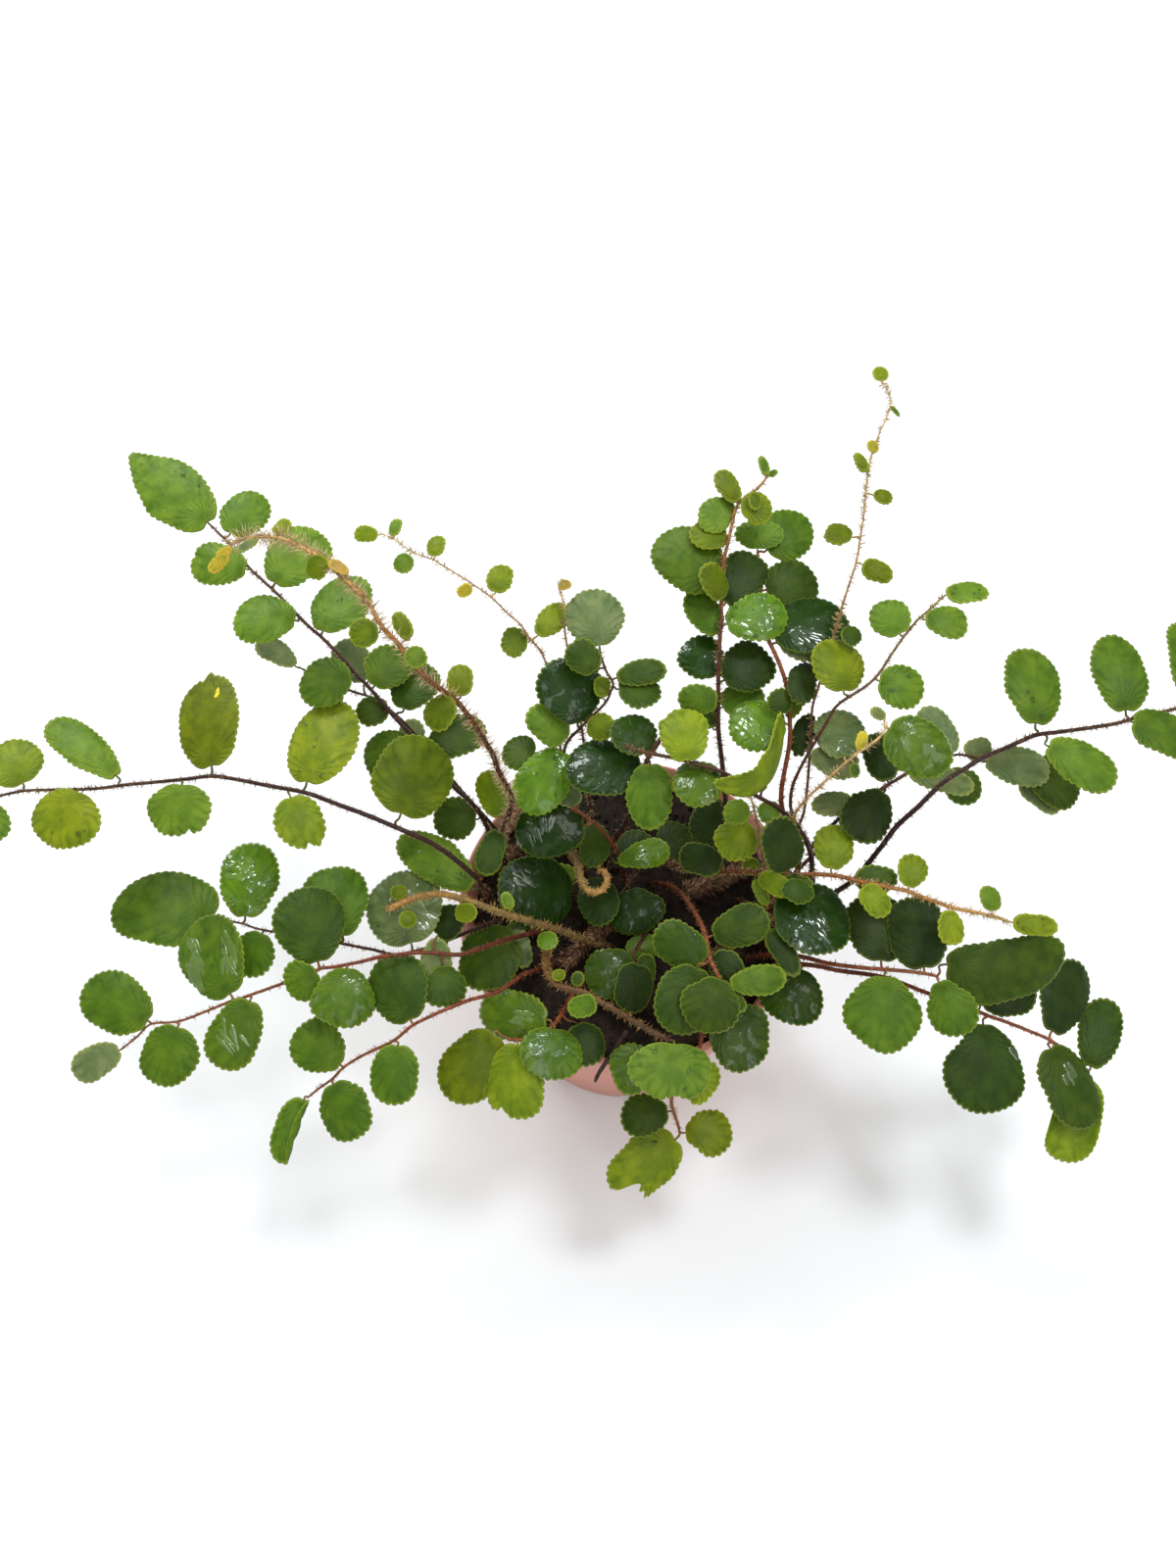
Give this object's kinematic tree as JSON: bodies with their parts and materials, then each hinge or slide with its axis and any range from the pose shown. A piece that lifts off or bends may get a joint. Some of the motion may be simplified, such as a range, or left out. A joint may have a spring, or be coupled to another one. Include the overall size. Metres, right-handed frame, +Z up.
{
  "type": "potted button fern",
  "caption": "Young button fern: arching fronds of roundish scalloped leaflets growing from creeping rhizomes in soil, in a round tapered terracotta-pink plastic nursery pot.",
  "frame": {"origin": "centre of the pot's flat underside, on the surface the pot stands on", "axes": "+Z up along the pot's axis, +Y away from the side the plant is seen from, +X to the right as seen from there"},
  "size_m": [0.3547, 0.1803, 0.1534],
  "materials": {
    "pot_plastic": "satin",
    "peat": "matte",
    "rhizome_bark": "matte",
    "dead_wood": "matte",
    "frond_green": "satin"
  },
  "bodies": {
    "root": {"dead_stem": "dead_wood", "frond_bud": "frond_green", "frond_centre_dark": "frond_green", "frond_centre_right": "frond_green", "frond_crown_back": "frond_green", "frond_crown_front": "frond_green", "frond_crown_left": "frond_green", "frond_crown_middle": "frond_green", "frond_crown_right": "frond_green", "frond_crozier": "frond_green", "frond_front": "frond_green", "frond_front_left": "frond_green", "frond_front_right": "frond_green", "frond_golden": "frond_green", "frond_golden_front": "frond_green", "frond_hairy_arch": "frond_green", "frond_left_long": "frond_green", "frond_left_lower": "frond_green", "frond_left_middle": "frond_green", "frond_left_middle_under": "frond_green", "frond_orange_right": "frond_green", "frond_red_upright": "frond_green", "frond_right_long": "frond_green", "frond_right_lower_red": "frond_green", "frond_right_middle": "frond_green", "frond_right_under": "frond_green", "frond_right_upper_red": "frond_green", "frond_small_leaves": "frond_green", "frond_straw_right": "frond_green", "frond_tall_hairy": "frond_green", "frond_tall_thin": "frond_green", "frond_thick_dark": "frond_green", "frond_thin_young": "frond_green", "frond_upper_left": "frond_green", "frond_upper_left_under": "frond_green", "frond_upper_right": "frond_green", "pot": "pot_plastic", "rhizome_back": "rhizome_bark", "rhizome_left": "rhizome_bark", "rhizome_middle": "rhizome_bark", "rhizome_right": "rhizome_bark", "soil": "peat"}
  },
  "joints": []
}
